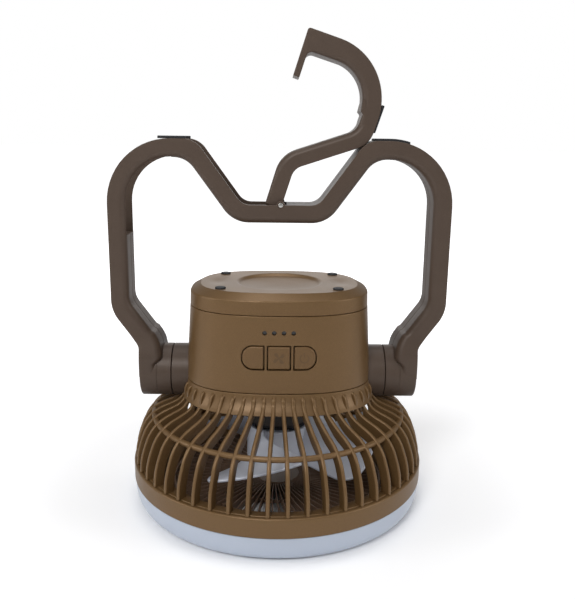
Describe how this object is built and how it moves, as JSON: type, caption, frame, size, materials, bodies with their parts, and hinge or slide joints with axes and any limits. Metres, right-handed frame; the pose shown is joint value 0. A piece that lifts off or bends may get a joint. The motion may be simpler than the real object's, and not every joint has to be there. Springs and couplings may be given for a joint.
{
  "type": "portable camping fan",
  "caption": "Portable fan and ring lamp with a round guard, battery housing with push buttons, swing handle and folding hanging hook.",
  "frame": {"origin": "On the fan axis, in the plane that the lamp ring stands on.", "axes": "+Z is the fan axis from the air outlet up to the housing, +X is the handle's hinge axis towards the right of the button side, -Y is the button side."},
  "size_m": [0.2108, 0.19, 0.2954],
  "materials": {
    "bronze": "satin",
    "brown": "satin",
    "key": "satin",
    "diffuser": "satin",
    "white_board": "satin",
    "led": "satin",
    "dark": "satin",
    "dark_metal": "satin",
    "steel": "satin",
    "copper": "satin",
    "blade": "satin",
    "rubber": "satin",
    "cell": "satin",
    "nickel": "satin",
    "board": "satin",
    "clear": "satin",
    "washer": "satin"
  },
  "bodies": {
    "head": {"lamp_diffuser": "diffuser", "lamp_board": "white_board", "lamp_leds": "led", "front_bezel": "bronze", "front_grille": "dark", "rear_guard": "bronze", "guard_screws": "steel", "motor_base": "dark", "base_screws": "steel", "motor_stator": "copper", "motor_bearings": "steel", "housing_shell": "bronze", "base_cap": "bronze", "cap_screws": "steel", "rubber_feet": "rubber", "battery_holder": "dark", "battery_cells": "cell", "cell_links": "nickel", "main_board": "board", "board_screws": "steel", "tact_switches": "dark", "indicator_leds": "led", "light_pipes": "clear", "charging_port": "nickel", "port_board": "board", "left_hub": "brown", "right_hub": "brown", "friction_washers": "washer"},
    "rotor": {"motor_bell": "dark_metal", "motor_shaft": "steel", "fan_rotor": "blade", "rotor_nut": "steel"},
    "handle": {"handle_front_shell": "brown", "handle_rear_shell": "brown", "handle_screws": "dark_metal", "hinge_bolts": "steel", "hinge_nuts": "steel", "hinge_caps": "brown", "left_shoulder_pads": "rubber", "right_shoulder_pad": "rubber", "hook_pin": "nickel"},
    "hook_arm": {"hook": "brown", "hook_pad": "rubber"},
    "lamp_key": {"lamp_button": "key"},
    "fan_key": {"fan_button": "key"},
    "power_key": {"power_button": "key"}
  },
  "joints": [
    {"name": "handle_swing", "type": "hinge", "parent": "head", "child": "handle", "pos_m": [0, 0, 0.0833], "axis": [1, 0, 0], "range_deg": [-100, 100]},
    {"name": "hook_fold", "type": "hinge", "parent": "handle", "child": "hook_arm", "pos_m": [0.0003, 0, 0.1925], "axis": [0, -1, 0], "range_deg": [0, 107.8]},
    {"name": "fan_spin", "type": "hinge", "parent": "head", "child": "rotor", "pos_m": [0, 0, 0.035], "axis": [0, 0, 1], "continuous": true},
    {"name": "lamp_press", "type": "slide", "parent": "head", "child": "lamp_key", "axis": [0, 1, 0], "range_m": [0, 0.0008], "stiffness_N_per_m": 300},
    {"name": "fan_press", "type": "slide", "parent": "head", "child": "fan_key", "axis": [0, 1, 0], "range_m": [0, 0.0008], "stiffness_N_per_m": 300},
    {"name": "power_press", "type": "slide", "parent": "head", "child": "power_key", "axis": [0, 1, 0], "range_m": [0, 0.0008], "stiffness_N_per_m": 300}
  ]
}
